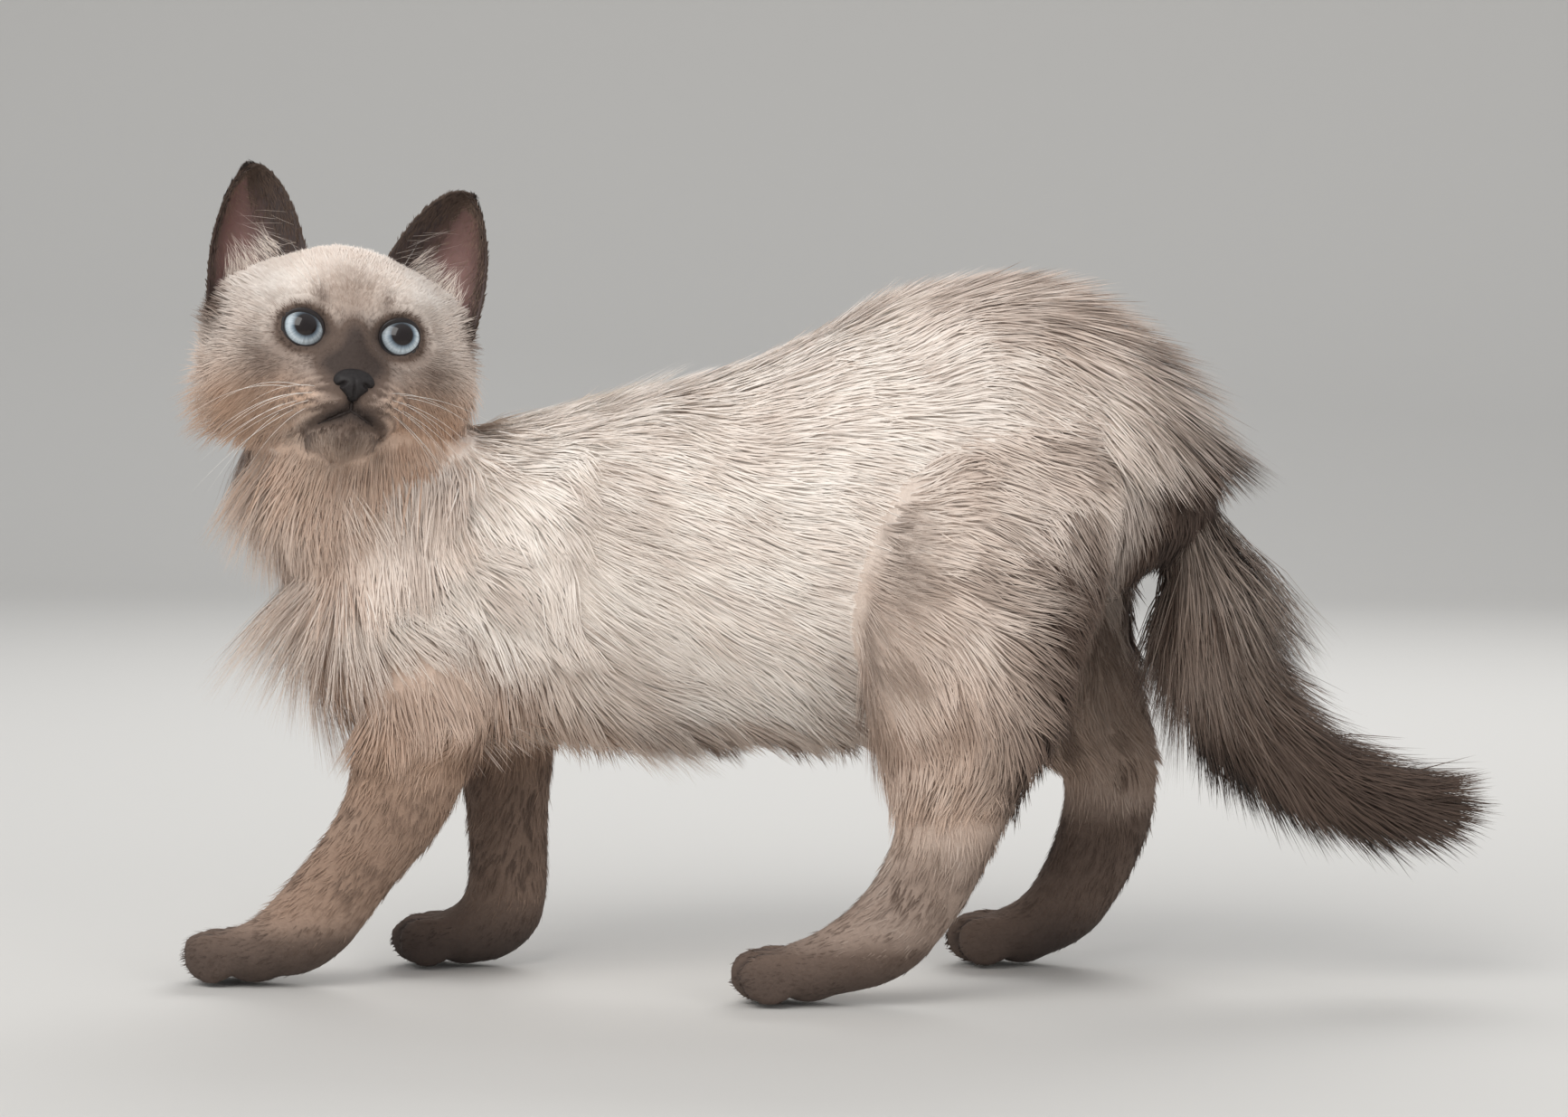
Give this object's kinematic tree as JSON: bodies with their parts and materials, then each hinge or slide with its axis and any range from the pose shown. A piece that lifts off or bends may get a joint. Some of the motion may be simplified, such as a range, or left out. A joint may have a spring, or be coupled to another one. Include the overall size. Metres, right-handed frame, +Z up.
{
  "type": "long-haired cat model",
  "caption": "Life-size still model of a long-haired colourpoint kitten standing with its head turned to the viewer, its rump raised and its tail hanging clear.",
  "frame": {"origin": "centre of the outline's bounding box on the floor that the feet stand on", "axes": "-X towards the cat's chest, +X towards its tail, -Y to the cat's left side, +Z up"},
  "size_m": [0.3931, 0.1269, 0.2475],
  "materials": {
    "cream_coat": "soft warm cream fur, lying flat, with beige and taupe shading",
    "point_coat": "dark blue-grey fur with a brown cast and paler streaks",
    "leg_coat": "short dusky taupe fur, darker on the toes",
    "nose_leather": "slate nose leather, slightly moist",
    "eye": "clear wet ice-blue eye with a large round pupil"
  },
  "bodies": {
    "root": {"head": "cream_coat", "neck": "cream_coat", "torso": "cream_coat", "nose": "nose_leather", "ear_left": "point_coat", "ear_right": "point_coat", "eye_left": "eye", "eye_right": "eye", "foreleg_left": "leg_coat", "foreleg_right": "leg_coat", "hindleg_left": "leg_coat", "hindleg_right": "leg_coat", "tail_root": "point_coat", "tail_middle": "point_coat", "tail_tip": "point_coat"}
  },
  "joints": []
}
